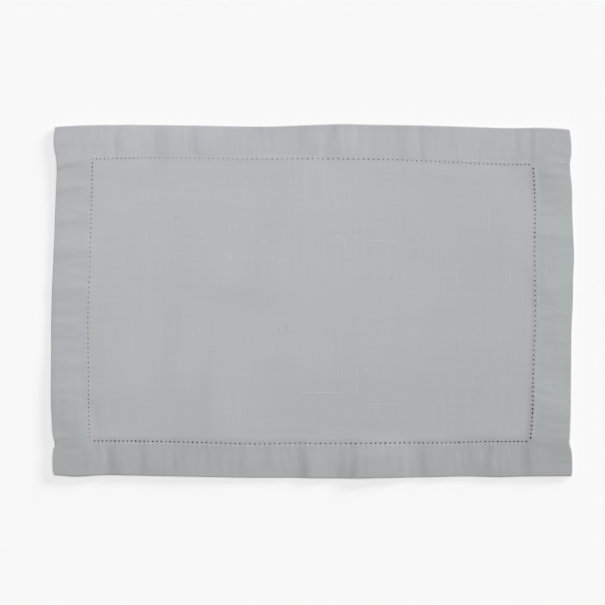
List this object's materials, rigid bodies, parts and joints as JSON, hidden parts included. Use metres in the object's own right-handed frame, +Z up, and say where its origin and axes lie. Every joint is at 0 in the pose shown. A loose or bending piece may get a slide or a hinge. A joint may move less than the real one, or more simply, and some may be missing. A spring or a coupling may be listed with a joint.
{
  "type": "placemat",
  "caption": "Rectangular light grey slub-weave cloth placemat lying flat, with a wide turned hem on every side, square corners and a row of hemstitch holes inside the hem.",
  "frame": {"origin": "middle of the mat's outline, on the surface that it lies on", "axes": "+X along the long side, +Y across the mat towards the side that is uppermost in the picture, +Z up out of the cloth"},
  "size_m": [0.4798, 0.3256, 0.0024],
  "materials": {
    "cloth": "matte light grey plain weave with slubs"
  },
  "bodies": {
    "root": {"mat_cloth": "cloth"}
  },
  "joints": []
}
